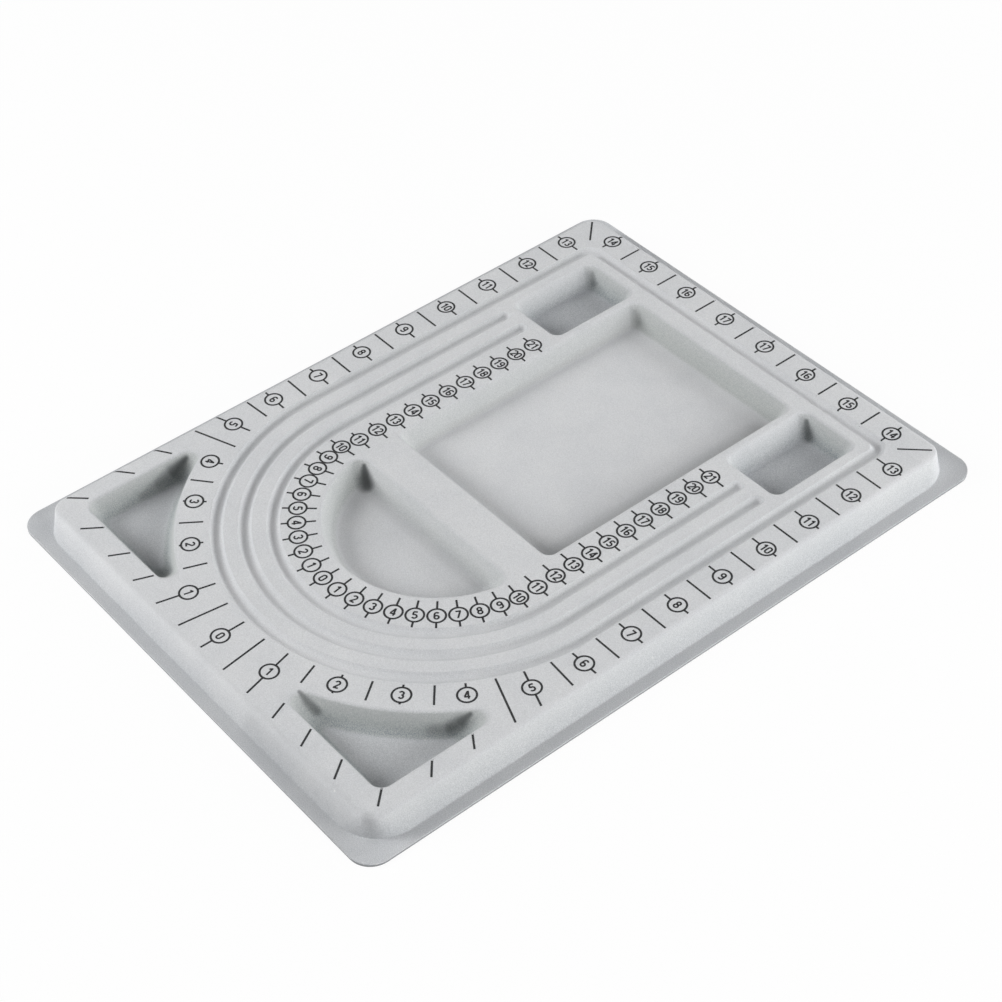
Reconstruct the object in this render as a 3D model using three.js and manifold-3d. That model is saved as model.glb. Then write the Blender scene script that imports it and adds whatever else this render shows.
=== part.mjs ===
// Bead board: one thermoformed sheet with a flocked top, drawn as the zones that the mould gives it.
// Units are millimetres and +Z is up. +Y runs along the board to the end with the two bead boxes.
// The origin is at the centre of the face that the board rests on.
import * as THREE from 'three';
import { mergeVertices } from 'three/addons/utils/BufferGeometryUtils.js';
import Module from 'manifold-3d';

// Driving dimensions of the whole board
const boardWidth = 260;
const boardLength = 341;
const boardHeight = 12;

// The layers, from the plastic sheet up to the tips of the flock
const sheetThickness = 0.8;
const glueFilm = 0.2;
const flockPile = 0.4;

// The rim: a flat flange on the table, a drafted skirt and a rounded shoulder
const flangeWidth = 6;
const flangeCornerRadius = 10.5;
const skirtRun = 5.3;
const skirtFootRadius = 1.2;
const shoulderInsideRadius = 1.6;
const plateauCornerRadius = 7;

// The flat land round the plateau's edge, which carries the inch scale
const sideLand = 16.4;
const farLand = 14.6;
const nearLand = 26.6;

// The three bead channels
const channelWidth = 6.2;
const channelDepth = 3;
const channelPitch = 12.4;
const channelFlankRun = 1.1;
const channelFloorFlat = 0.8;
const channelFootRadius = 2.4;
const channelCornerRadius = 6;
const channelEndGap = 4.6;

// The pans: drafted hollows with a rolled lip and a rounded foot
const panFloorLift = 0.3;
const panWallRun = 4.2;
const panFootRadius = 3;
const panCornerRadius = 5;
const panCornerFade = 0.45;
const lipInsideRadius = 0.3;

// The deck inside the channels, which carries the centimetre scale
const deckStrip = 17.8;
const trayFarStrip = 8.5;
const barWidth = 19.7;
const halfMoonSetBack = 4.7;
const halfMoonCornerRadius = 6;

// The bead boxes beside the main tray
const boxLength = 50;
const boxStrip = 5;
const dividerWidth = 4;

// The pockets in the two corners outside the bend
const pocketSideLand = 10;
const pocketNearLand = 12;
const pocketArcLand = 15.2;
const pocketTipRadius = 5;
const pocketCornerRadius = 6;

// How the sheet is parted into zones, and how finely curves are faceted
const seamGap = 0.3;
const seamMargin = 0.15;
const cutMargin = 1;
const leastRadius = 0.25;
const cornerSteps = 3;
const bendSteps = 16;
const arcSteps = 6;
const lipSteps = 2;
const footSteps = 2;

const flockColour = '#c9cdce';
const sheetColour = '#aeb3b5';
const flockRoughness = 0.95;
const sheetRoughness = 0.5;

// Depth of each layer's upper face below the tips of the flock
const flockFoot = flockPile;
const sheetTop = flockPile + glueFilm;
const sheetUnderside = sheetTop + sheetThickness;

// Levels and edges that follow from the driving dimensions
const flangeTop = sheetUnderside;
const skirtDrop = boardHeight - flangeTop;
const panDrop = boardHeight - sheetUnderside - panFloorLift;
const lipRadius = lipInsideRadius + sheetUnderside;
const shoulderRadius = shoulderInsideRadius + sheetUnderside;
const plateauHalfWidth = boardWidth / 2 - flangeWidth - skirtRun;
const plateauHalfLength = boardLength / 2 - flangeWidth - skirtRun;
const channelHalf = channelWidth / 2;
const outerChannel = plateauHalfWidth - sideLand - channelHalf;
const middleChannel = outerChannel - channelPitch;
const innerChannel = middleChannel - channelPitch;
const bendY = nearLand + channelHalf + outerChannel - plateauHalfLength;
const farChannelY = plateauHalfLength - farLand - channelHalf;
const deckFarEdge = farChannelY - channelHalf;
const deckSideEdge = outerChannel - channelHalf;
const trayHalfWidth = innerChannel - channelHalf - deckStrip;
const trayNear = bendY - halfMoonSetBack + barWidth;
const trayFar = deckFarEdge - trayFarStrip;
const boxFar = deckFarEdge - boxStrip;
const boxNear = boxFar - boxLength;
const boxOuter = deckSideEdge - boxStrip;
const boxInner = trayHalfWidth + dividerWidth;
const channelEndY = boxNear - channelEndGap - channelHalf;
const pocketSide = plateauHalfWidth - pocketSideLand;
const pocketNear = pocketNearLand - plateauHalfLength;
const pocketArc = outerChannel + channelHalf + pocketArcLand;

const wasm = await Module();
wasm.setup();

// Points along a circular arc, turning from one angle to another
function arc(centreX, centreY, radius, from, to, steps) {
  const clockwise = to < from;
  const curve = new THREE.EllipseCurve(centreX, centreY, radius, radius, from, to, clockwise);
  return curve.getPoints(steps);
}

// Corner radius that shrinks as an outline moves into its hollow
function fadedRadius(radius, inset) {
  return Math.max(radius - panCornerFade * inset, leastRadius);
}

function roundedRectangle(left, right, near, far, radius) {
  return [
    ...arc(right - radius, near + radius, radius, -Math.PI / 2, 0, cornerSteps),
    ...arc(right - radius, far - radius, radius, 0, Math.PI / 2, cornerSteps),
    ...arc(left + radius, far - radius, radius, Math.PI / 2, Math.PI, cornerSteps),
    ...arc(left + radius, near + radius, radius, Math.PI, Math.PI * 1.5, cornerSteps),
  ];
}

function mirrored(points) {
  return points.map((point) => new THREE.Vector2(-point.x, point.y)).reverse();
}

// Edge of the plateau, moved outwards by a distance
function plateauOutline(outset) {
  const halfWidth = plateauHalfWidth + outset;
  const halfLength = plateauHalfLength + outset;
  const radius = Math.max(plateauCornerRadius + outset, leastRadius);
  return roundedRectangle(-halfWidth, halfWidth, -halfLength, halfLength, radius);
}

function flangeOutline() {
  const halfWidth = boardWidth / 2;
  const halfLength = boardLength / 2;
  return roundedRectangle(-halfWidth, halfWidth, -halfLength, halfLength, flangeCornerRadius);
}

// Openings of the pans, moved into their hollows by a distance
function trayOutline(inset) {
  const halfWidth = trayHalfWidth - inset;
  const radius = fadedRadius(panCornerRadius, inset);
  return roundedRectangle(-halfWidth, halfWidth, trayNear + inset, trayFar - inset, radius);
}

function boxOutline(inset) {
  const radius = fadedRadius(panCornerRadius, inset);
  return roundedRectangle(boxInner + inset, boxOuter - inset, boxNear + inset, boxFar - inset, radius);
}

function halfMoonOutline(inset) {
  const radius = trayHalfWidth - inset;
  const corner = fadedRadius(halfMoonCornerRadius, inset);
  const cornerY = -halfMoonSetBack - inset - corner;
  const cornerX = Math.sqrt((radius - corner) ** 2 - cornerY ** 2);
  const meet = Math.atan2(cornerY, cornerX);
  return [
    ...arc(cornerX, bendY + cornerY, corner, meet, Math.PI / 2, cornerSteps),
    ...arc(-cornerX, bendY + cornerY, corner, Math.PI / 2, Math.PI - meet, cornerSteps),
    ...arc(0, bendY, radius, Math.PI - meet, Math.PI * 2 + meet, bendSteps).slice(1, -1),
  ];
}

// A corner pocket is bounded by two straight sides and by an arc about the centre of the bend
function pocketOutline(inset) {
  const side = pocketSide - inset;
  const near = pocketNear + inset - bendY;
  const sweep = pocketArc + inset;
  const tip = fadedRadius(pocketTipRadius, inset);
  const corner = fadedRadius(pocketCornerRadius, inset);
  const nearTipY = near + tip;
  const nearTipX = Math.sqrt((sweep + tip) ** 2 - nearTipY ** 2);
  const sideTipX = side - tip;
  const sideTipY = -Math.sqrt((sweep + tip) ** 2 - sideTipX ** 2);
  const nearMeet = Math.atan2(nearTipY, nearTipX);
  const sideMeet = Math.atan2(sideTipY, sideTipX);
  const outline = [
    ...arc(side - corner, near + corner, corner, -Math.PI / 2, 0, cornerSteps),
    ...arc(sideTipX, sideTipY, tip, 0, sideMeet + Math.PI, cornerSteps),
    ...arc(0, 0, sweep, sideMeet, nearMeet, arcSteps).slice(1, -1),
    ...arc(nearTipX, nearTipY, tip, nearMeet + Math.PI, Math.PI * 1.5, cornerSteps),
  ];
  return outline.map((point) => new THREE.Vector2(point.x, point.y + bendY));
}

// A channel that runs up both sides of the bend, as a slot narrowed by a distance on each flank
function channelOutline(centreline, inset) {
  const half = channelHalf - inset;
  const outer = centreline + half;
  const inner = centreline - half;
  return [
    ...arc(centreline, channelEndY, half, 0, Math.PI, cornerSteps),
    ...arc(0, bendY, inner, 0, -Math.PI, bendSteps),
    ...arc(-centreline, channelEndY, half, 0, Math.PI, cornerSteps),
    ...arc(0, bendY, outer, Math.PI, Math.PI * 2, bendSteps),
  ];
}

// The outer channel is a closed loop; this is its centreline moved outwards by a distance
function loopOutline(outset) {
  const side = outerChannel + outset;
  const far = farChannelY + outset;
  const radius = Math.max(channelCornerRadius + outset, leastRadius);
  return [
    ...arc(0, bendY, side, -Math.PI, 0, bendSteps),
    ...arc(side - radius, far - radius, radius, 0, Math.PI / 2, cornerSteps),
    ...arc(radius - side, far - radius, radius, Math.PI / 2, Math.PI, cornerSteps),
  ];
}

// A rounded step: over a lip, down a drafted wall and through a foot to the lower level.
// Each point keeps the angle of its surface normal, so every layer is the same step moved along it.
function stepProfile(drop, run, lip, foot) {
  const tilt = Math.atan2(run, drop);
  const turn = Math.PI / 2 - tilt;
  const reach = Math.tan(turn / 2);
  const roomForFoot = (drop - lip * (1 - Math.sin(tilt))) / (1 - Math.sin(tilt));
  const footRadius = Math.max(Math.min(foot, roomForFoot), leastRadius);
  const points = [];
  for (let step = 0; step <= lipSteps; step += 1) {
    const angle = Math.PI / 2 - turn * step / lipSteps;
    points.push({ across: lip * (Math.cos(angle) - reach), down: lip * (1 - Math.sin(angle)), angle });
  }
  for (let step = 0; step <= footSteps; step += 1) {
    const angle = tilt + turn * step / footSteps;
    const across = run + footRadius * (reach - Math.cos(angle));
    points.push({ across, down: drop - footRadius * (1 - Math.sin(angle)), angle });
  }
  return points;
}

function movedStep(profile, depth) {
  return profile.map(({ across, down, angle }) => ({
    across: across - depth * Math.cos(angle),
    level: boardHeight - down - depth * Math.sin(angle),
  }));
}

const skirtStep = stepProfile(skirtDrop, skirtRun, shoulderRadius, skirtFootRadius);
const panStep = stepProfile(panDrop, panWallRun, lipRadius, panFootRadius);
const channelFootRoom = channelHalf - channelFlankRun - channelFloorFlat / 2;
const channelTurn = Math.PI / 2 - Math.atan2(channelFlankRun, channelDepth);
const channelFoot = Math.min(channelFootRadius, channelFootRoom / Math.tan(channelTurn / 2));
const channelStep = stepProfile(channelDepth, channelFlankRun, lipRadius, channelFoot);

// Closed solid through a stack of outlines with equal counts of points, given from the bottom up
function loft(rings) {
  const count = rings[0].outline.length;
  const positions = rings.flatMap(({ outline, level }) => outline.flatMap(({ x, y }) => [x, y, level]));
  const faces = [];
  for (let ring = 0; ring + 1 < rings.length; ring += 1) {
    faces.push(...band(ring * count, (ring + 1) * count, count));
  }
  const last = (rings.length - 1) * count;
  for (const [a, b, c] of THREE.ShapeUtils.triangulateShape(rings[0].outline, [])) {
    faces.push(a, c, b);
  }
  for (const [a, b, c] of THREE.ShapeUtils.triangulateShape(rings[rings.length - 1].outline, [])) {
    faces.push(last + a, last + b, last + c);
  }
  return solidFrom(positions, faces);
}

// Closed ring of solid through a loop of outlines, the last of which joins the first
function loftedRing(rings) {
  const count = rings[0].outline.length;
  const positions = rings.flatMap(({ outline, level }) => outline.flatMap(({ x, y }) => [x, y, level]));
  const faces = rings.flatMap((ring, index) => {
    const next = (index + 1) % rings.length;
    return band(index * count, next * count, count);
  });
  return solidFrom(positions, faces);
}

function band(lower, upper, count) {
  const faces = [];
  for (let index = 0; index < count; index += 1) {
    const next = (index + 1) % count;
    faces.push(lower + index, lower + next, upper + next, lower + index, upper + next, upper + index);
  }
  return faces;
}

function solidFrom(positions, faces) {
  const geometry = new THREE.BufferGeometry();
  geometry.setAttribute('position', new THREE.Float32BufferAttribute(positions, 3));
  geometry.setIndex(faces);
  return solidOf(geometry);
}

function solidOf(geometry) {
  const vertProperties = Float32Array.from(geometry.attributes.position.array);
  const triVerts = Uint32Array.from(geometry.index.array);
  return new wasm.Manifold(new wasm.Mesh({ numProp: 3, vertProperties, triVerts }));
}

// Upright prism over an outline with holes, tall enough to cut through the whole board
function prism(outline, holes) {
  const shape = new THREE.Shape(outline);
  shape.holes = holes.map((hole) => new THREE.Path(hole));
  const depth = boardHeight + cutMargin * 2;
  const geometry = new THREE.ExtrudeGeometry(shape, { depth, bevelEnabled: false });
  geometry.deleteAttribute('normal');
  geometry.deleteAttribute('uv');
  geometry.translate(0, 0, -cutMargin);
  return solidOf(mergeVertices(geometry));
}

// One outline for each point of a step, moved down by a depth
function stepRings(outlineAt, profile, depth) {
  return movedStep(profile, depth).map(({ across, level }) => ({ outline: outlineAt(across), level }));
}

// The hollow of a pan or of an open channel, at a depth below the flock tips
function hollow(outlineAt, profile, depth) {
  const rings = stepRings(outlineAt, profile, depth);
  rings.unshift({ outline: rings[0].outline, level: boardHeight + cutMargin });
  return loft(rings.reverse());
}

// The hollow of the closed loop channel, with the same flank on both sides of its centreline
function loopHollow(depth) {
  const flank = movedStep(channelStep, depth);
  flank.unshift({ across: flank[0].across, level: boardHeight + cutMargin });
  const inside = flank.map(({ across, level }) => ({ outline: loopOutline(across - channelHalf), level }));
  const outside = flank.map(({ across, level }) => ({ outline: loopOutline(channelHalf - across), level }));
  return loftedRing([...inside, ...outside.reverse()]);
}

const pans = {
  main_tray: trayOutline,
  half_moon_tray: halfMoonOutline,
  bead_box_right: boxOutline,
  bead_box_left: (inset) => mirrored(boxOutline(inset)),
  corner_pocket_right: pocketOutline,
  corner_pocket_left: (inset) => mirrored(pocketOutline(inset)),
};
const landPans = [pans.corner_pocket_left, pans.corner_pocket_right];
const deckPans = [pans.main_tray, pans.half_moon_tray, pans.bead_box_left, pans.bead_box_right];

// Everything below the board's upper face, moved down by a depth
function formBelow(depth) {
  const skirt = stepRings(plateauOutline, skirtStep, depth);
  const beyond = plateauOutline(skirtRun + flangeWidth + flangeCornerRadius);
  const foot = skirt[skirt.length - 1].level;
  skirt.push({ outline: beyond, level: foot });
  skirt.push({ outline: beyond, level: -cutMargin - depth });
  let form = loft(skirt.reverse());
  for (const outlineAt of Object.values(pans)) {
    form = form.subtract(hollow(outlineAt, panStep, depth));
  }
  for (const centreline of [middleChannel, innerChannel]) {
    const slot = (inset) => channelOutline(centreline, inset);
    form = form.subtract(hollow(slot, channelStep, depth));
  }
  return form.subtract(loopHollow(depth));
}

const trim = prism(flangeOutline(), []);
const sheet = formBelow(sheetTop).subtract(formBelow(sheetUnderside)).intersect(trim);
const flock = formBelow(0).subtract(formBelow(flockFoot)).intersect(trim);

// The sheet is parted where its lips run out on the flat, and along the floors of the channels
const panSeam = panStep[0].across - seamMargin;
const shoulderSeam = skirtStep[0].across - seamMargin;
const halfSeam = seamGap / 2;
const seamHole = (outlineAt) => outlineAt(panSeam - seamGap);

// A ridge between two channels follows the bend and ends level with the channels' ends
function ridgeOutline(inner, outer) {
  const endY = channelEndY - halfSeam;
  return [
    new THREE.Vector2(outer, endY),
    new THREE.Vector2(inner, endY),
    ...arc(0, bendY, inner, 0, -Math.PI, bendSteps),
    new THREE.Vector2(-inner, endY),
    new THREE.Vector2(-outer, endY),
    ...arc(0, bendY, outer, Math.PI, Math.PI * 2, bendSteps),
  ];
}

// The deck fills the bend inside the inner channel, and widens past the channels' ends
function deckOutline() {
  const bend = innerChannel - halfSeam;
  const endY = channelEndY + halfSeam;
  const loop = loopOutline(-halfSeam).slice(bendSteps + 1);
  const side = outerChannel - halfSeam;
  return [
    ...arc(0, bendY, bend, -Math.PI, 0, bendSteps),
    new THREE.Vector2(bend, endY),
    new THREE.Vector2(side, endY),
    ...loop,
    new THREE.Vector2(-side, endY),
    new THREE.Vector2(-bend, endY),
  ];
}

const zones = {
  rim: prism(plateauOutline(skirtRun + flangeWidth * 2), [plateauOutline(shoulderSeam)]),
  scale_land: prism(
    plateauOutline(shoulderSeam - seamGap),
    [loopOutline(halfSeam), ...landPans.map(seamHole)],
  ),
  outer_ridge: prism(ridgeOutline(middleChannel + halfSeam, outerChannel - halfSeam), []),
  inner_ridge: prism(ridgeOutline(innerChannel + halfSeam, middleChannel - halfSeam), []),
  scale_deck: prism(deckOutline(), deckPans.map(seamHole)),
};
for (const [name, outlineAt] of Object.entries(pans)) {
  zones[name] = prism(outlineAt(panSeam), []);
}

function meshOf(name, solid, material) {
  const { vertProperties, triVerts } = solid.getMesh();
  const geometry = new THREE.BufferGeometry();
  geometry.setAttribute('position', new THREE.BufferAttribute(vertProperties, 3));
  geometry.setIndex(new THREE.BufferAttribute(triVerts, 1));
  geometry.computeVertexNormals();
  const mesh = new THREE.Mesh(geometry, material);
  mesh.name = name;
  return mesh;
}

const board = new THREE.Group();
board.name = 'bead_board';
for (const [name, zone] of Object.entries(zones)) {
  const material = new THREE.MeshStandardMaterial({
    color: sheetColour,
    roughness: sheetRoughness,
    metalness: 0,
  });
  board.add(meshOf(name, sheet.intersect(zone), material));
}
const flockMaterial = new THREE.MeshStandardMaterial({
  color: flockColour,
  roughness: flockRoughness,
  metalness: 0,
});
board.add(meshOf('flock_layer', flock, flockMaterial));

export default board;
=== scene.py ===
# %% [markdown]
# # A bead board
# A bead board is a shallow tray for planning a necklace. One thin sheet of grey plastic is drawn hot over
# a mould, its upper face is covered with short fibres, and two scales are printed on the flats.
# The frame holds the measured solids. This script builds the finished look round them. It draws in
# millimetres, because Blender fills an outline more exactly when its numbers aren't tiny, and scales
# each finished mesh to metres.

# %% Load the frame
import math

import bmesh
import bpy
from mathutils import Matrix, Vector
from mathutils.bvhtree import BVHTree


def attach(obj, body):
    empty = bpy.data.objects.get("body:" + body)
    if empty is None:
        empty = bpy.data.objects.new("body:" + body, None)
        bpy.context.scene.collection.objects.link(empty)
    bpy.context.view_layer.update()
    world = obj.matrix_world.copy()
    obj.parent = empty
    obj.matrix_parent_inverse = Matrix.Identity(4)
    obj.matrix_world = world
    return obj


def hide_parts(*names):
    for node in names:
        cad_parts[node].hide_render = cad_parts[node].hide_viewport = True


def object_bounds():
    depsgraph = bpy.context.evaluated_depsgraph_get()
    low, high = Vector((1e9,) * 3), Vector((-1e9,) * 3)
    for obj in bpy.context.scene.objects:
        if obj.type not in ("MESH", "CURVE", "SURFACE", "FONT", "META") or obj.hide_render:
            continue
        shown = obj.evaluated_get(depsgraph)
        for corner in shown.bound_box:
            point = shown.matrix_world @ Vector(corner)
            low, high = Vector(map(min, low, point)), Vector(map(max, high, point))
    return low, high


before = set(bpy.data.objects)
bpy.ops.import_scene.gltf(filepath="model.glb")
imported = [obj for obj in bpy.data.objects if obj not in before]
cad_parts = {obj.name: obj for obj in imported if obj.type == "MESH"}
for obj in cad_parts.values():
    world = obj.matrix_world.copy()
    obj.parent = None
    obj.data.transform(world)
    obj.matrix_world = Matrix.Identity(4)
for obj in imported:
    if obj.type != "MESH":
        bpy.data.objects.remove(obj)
cad_low, cad_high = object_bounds()
MM = 0.001
print("board", [round(size / MM, 1) for size in cad_high - cad_low], "mm, nodes", len(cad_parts))

# %% [markdown]
# ## Sizes
# The overall size comes from the frame. The other sizes are the ones that the mould maker would set: how
# wide the flange is, how far each wall leans, and how round its lip and its foot are.

# %% Overall size and layers
half_width = cad_high.x / MM
half_length = cad_high.y / MM
top_level = cad_high.z / MM
flock_pile = 0.4
glue_film = 0.2
glue_gap = 0.05
sheet_thickness = 0.8
sheet_top = flock_pile + glue_film
sheet_underside = sheet_top + sheet_thickness
print("coat", round(sheet_top, 2), "mm thick on a sheet of", sheet_thickness, "mm")

# %% Rim, lands and channels
flange_width = 6
flange_corner = 10.5
skirt_run = 5.3
skirt_foot = 1.2
least_shoulder = 1.6
shoulder = least_shoulder + sheet_underside
plateau_corner = 7
skirt_corner_growth = 2.5
side_land = 16.4
far_land = 14.6
near_land = 26.6
channel_half = 3.1
channel_depth = 2.0
channel_pitch = 12.4
channel_flank_run = 1.4
channel_floor_flat = 0.3
channel_lip = 0.6
channel_corner = 6
channel_end_gap = 4.6
print("channels", 2 * channel_half, "mm wide and", channel_depth, "mm deep, every", channel_pitch, "mm")

# %% Trays, boxes and pockets
least_lip = 0.3
lip = least_lip + sheet_underside
pan_floor_lift = 0.3
pan_wall_run = 4.2
pan_foot = 4.6
pan_corner = 5
corner_fade = 0.45
deck_strip = 17.8
tray_far_strip = 8.5
bar_width = 19.7
moon_set_back = 4.7
moon_corner = 6
box_length = 50
box_strip = 5
divider_width = 4
pocket_side_land = 10
pocket_near_land = 12
pocket_arc_land = 15.2
pocket_tip = 5
pocket_corner = 6
print("tray lips", round(lip, 2), "mm round, tray feet", pan_foot, "mm round")

# %% Edges that follow from the sizes
plateau_x = half_width - flange_width - skirt_run
plateau_y = half_length - flange_width - skirt_run
outer_channel = plateau_x - side_land - channel_half
middle_channel = outer_channel - channel_pitch
inner_channel = middle_channel - channel_pitch
bend_y = near_land + channel_half + outer_channel - plateau_y
far_channel_y = plateau_y - far_land - channel_half
deck_far = far_channel_y - channel_half
tray_x = inner_channel - channel_half - deck_strip
tray_near = bend_y - moon_set_back + bar_width
tray_far = deck_far - tray_far_strip
box_far = deck_far - box_strip
box_near = box_far - box_length
box_outer = outer_channel - channel_half - box_strip
box_inner = tray_x + divider_width
channel_end_y = box_near - channel_end_gap - channel_half
pocket_x = plateau_x - pocket_side_land
pocket_near = pocket_near_land - plateau_y
pocket_arc = outer_channel + channel_half + pocket_arc_land
skirt_drop = top_level - sheet_underside
pan_drop = skirt_drop - pan_floor_lift
print("bend centre at y", round(bend_y, 1), "mm, channels at", round(outer_channel, 1), "mm and inwards")

# %% [markdown]
# ## Outlines
# Every edge on this board is made of arcs joined by straight runs. An arc is a vertex that is spun about a
# centre, which keeps the curve true and needs no list of points. Each outline can be moved into its hollow
# by a distance, so one function gives the lip, the wall and the foot of the same tray.

# %% Draw a closed outline
corner_steps = 10
least_radius = 0.25
right_angle = math.pi / 2


def outline_points(arcs):
    """Points round a closed outline: each arc is one vertex that is spun about its centre."""
    bm = bmesh.new()
    for x, y, radius, start, end, steps in arcs:
        first = bm.verts.new((x + radius * math.cos(start), y + radius * math.sin(start), 0))
        bmesh.ops.spin(bm, geom=[first], cent=(x, y, 0), axis=(0, 0, 1), angle=end - start, steps=steps)
    points = [vert.co.copy() for vert in bm.verts]
    bm.free()
    return points


def wire(bm, arcs, level):
    """Draws an outline at a level and returns its vertices and edges in order."""
    verts = [bm.verts.new((point.x, point.y, level)) for point in outline_points(arcs)]
    edges = [bm.edges.new(pair) for pair in zip(verts, verts[1:] + verts[:1])]
    return verts, edges


def faded(radius, inset):
    """Corners of a tray grow tighter as its wall goes down."""
    return max(radius - corner_fade * inset, least_radius)


def rounded_rectangle(left, right, near, far, radius):
    quarters = (
        (right - radius, near + radius, -1),
        (right - radius, far - radius, 0),
        (left + radius, far - radius, 1),
        (left + radius, near + radius, 2),
    )
    return [
        (x, y, radius, turn * right_angle, (turn + 1) * right_angle, corner_steps) for x, y, turn in quarters
    ]


def mirrored(arcs):
    return [
        (-x, y, radius, math.pi - start, math.pi - end, steps)
        for x, y, radius, start, end, steps in arcs
    ]


def trim_outline(inset=0.0):
    x, y = half_width - inset, half_length - inset
    return rounded_rectangle(-x, x, -y, y, flange_corner - inset)


print("edge of the flange", len(outline_points(trim_outline())), "points")

# %% Outlines of the rim and the square trays
def plateau_outline(outset):
    """The edge of the upper face. Further out, down the skirt, its corners grow rounder."""
    x, y = plateau_x + outset, plateau_y + outset
    growth = outset if outset < 0 else outset * skirt_corner_growth
    return rounded_rectangle(-x, x, -y, y, max(plateau_corner + growth, least_radius))


def tray_outline(inset):
    x = tray_x - inset
    return rounded_rectangle(-x, x, tray_near + inset, tray_far - inset, faded(pan_corner, inset))


def box_outline(inset):
    sides = box_inner + inset, box_outer - inset, box_near + inset, box_far - inset
    return rounded_rectangle(*sides, faded(pan_corner, inset))


print("main tray", round(2 * tray_x, 1), "by", round(tray_far - tray_near, 1), "mm")

# %% Outlines of the half-moon and the pockets
# A long arc stops just short of the next arc, so that no two points of an outline fall together.
bend_steps = 72
arc_steps = 28
moon_join = 0.01
pocket_join = 0.004


def moon_outline(inset):
    """Two corners on the straight side, and one arc about the middle of the bend."""
    radius = tray_x - inset
    corner = faded(moon_corner, inset)
    corner_y = -moon_set_back - inset - corner
    corner_x = math.sqrt((radius - corner) ** 2 - corner_y ** 2)
    meet = math.atan2(corner_y, corner_x)
    y = bend_y + corner_y
    return [
        (corner_x, y, corner, meet, right_angle, corner_steps),
        (-corner_x, y, corner, right_angle, math.pi - meet, corner_steps),
        (0, bend_y, radius, math.pi - meet + moon_join, math.tau + meet - moon_join, bend_steps),
    ]


def pocket_outline(inset):
    """A near corner and two tips, with an arc between the tips that follows the outer channel."""
    side = pocket_x - inset
    near = pocket_near + inset - bend_y
    sweep = pocket_arc + inset
    tip = faded(pocket_tip, inset)
    corner = faded(pocket_corner, inset)
    near_tip_y = near + tip
    near_tip_x = math.sqrt((sweep + tip) ** 2 - near_tip_y ** 2)
    side_tip_x = side - tip
    side_tip_y = -math.sqrt((sweep + tip) ** 2 - side_tip_x ** 2)
    near_meet = math.atan2(near_tip_y, near_tip_x)
    side_meet = math.atan2(side_tip_y, side_tip_x)
    return [
        (side - corner, bend_y + near + corner, corner, -right_angle, 0, corner_steps),
        (side_tip_x, bend_y + side_tip_y, tip, 0, side_meet + math.pi, corner_steps),
        (0, bend_y, sweep, side_meet - pocket_join, near_meet + pocket_join, arc_steps),
        (near_tip_x, bend_y + near_tip_y, tip, near_meet + math.pi, 3 * right_angle, corner_steps),
    ]


for name, outline in (("half-moon", moon_outline), ("corner pocket", pocket_outline)):
    print(name, len(outline_points(outline(0))), "points")


# %% Outlines of the channels
def slot_outline(centreline, inset):
    """A channel with two round ends: down one side, round the bend and up the other."""
    half = channel_half - inset
    return [
        (centreline, channel_end_y, half, 0, math.pi, corner_steps),
        (0, bend_y, centreline - half, 0, -math.pi, bend_steps),
        (-centreline, channel_end_y, half, 0, math.pi, corner_steps),
        (0, bend_y, centreline + half, math.pi, math.tau, bend_steps),
    ]


def loop_outline(outset):
    """The closed channel: round the bend, up the sides and across the far end."""
    side = outer_channel + outset
    far = far_channel_y + outset
    radius = max(channel_corner + outset, least_radius)
    return [
        (0, bend_y, side, -math.pi, 0, bend_steps),
        (side - radius, far - radius, radius, 0, right_angle, corner_steps),
        (radius - side, far - radius, radius, right_angle, math.pi, corner_steps),
    ]


print("closed channel", len(outline_points(loop_outline(0))), "points")

# %% [markdown]
# ## The form
# A formed wall always has the same three parts: it rolls over a lip, runs down a leaning wall, and rolls
# out through a foot. The profile keeps the angle of the surface at each point. A layer that lies deeper is
# the same profile moved along those angles, so sheet and coating keep an even thickness round every curve.
# A bead channel has the same parts, with a crisp lip and a foot so large that its two flanks make one scoop.

# %% Profile of a formed wall
flat_margin = 0.5


def step_profile(drop, run, lip_radius, foot_radius, steps):
    """Points down a wall: how far across, how far down, and the angle that the surface faces."""
    tilt = math.atan2(run, drop)
    turn = right_angle - tilt
    reach = math.tan(turn / 2)
    profile = [(-lip_radius * reach - flat_margin, 0.0, right_angle)]
    for step in range(steps + 1):
        angle = right_angle - turn * step / steps
        profile.append((lip_radius * (math.cos(angle) - reach), lip_radius * (1 - math.sin(angle)), angle))
    for step in range(steps + 1):
        angle = tilt + turn * step / steps
        across = run + foot_radius * (reach - math.cos(angle))
        profile.append((across, drop - foot_radius * (1 - math.sin(angle)), angle))
    return profile


def at_depth(profile, depth):
    """The same wall that far inside the material, as places across and levels."""
    return [
        (across - depth * math.cos(angle), top_level - down - depth * math.sin(angle))
        for across, down, angle in profile
    ]


def channel_profile(depth, steps):
    """One flank of a channel. A deeper layer has a wider lip, so that it can't fold."""
    reach = math.tan(math.atan2(channel_depth, channel_flank_run) / 2)
    lip_radius = max(channel_lip, depth + least_lip)
    floor_room = channel_half - channel_flank_run - channel_floor_flat / 2
    wall_room = math.hypot(channel_depth, channel_flank_run) - lip_radius * reach
    foot_radius = min(floor_room, wall_room) / reach
    return at_depth(step_profile(channel_depth, channel_flank_run, lip_radius, foot_radius, steps), depth)


print("channel profile ends at", [round(size, 2) for size in channel_profile(0.0, 2)[-1]], "mm")
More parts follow.
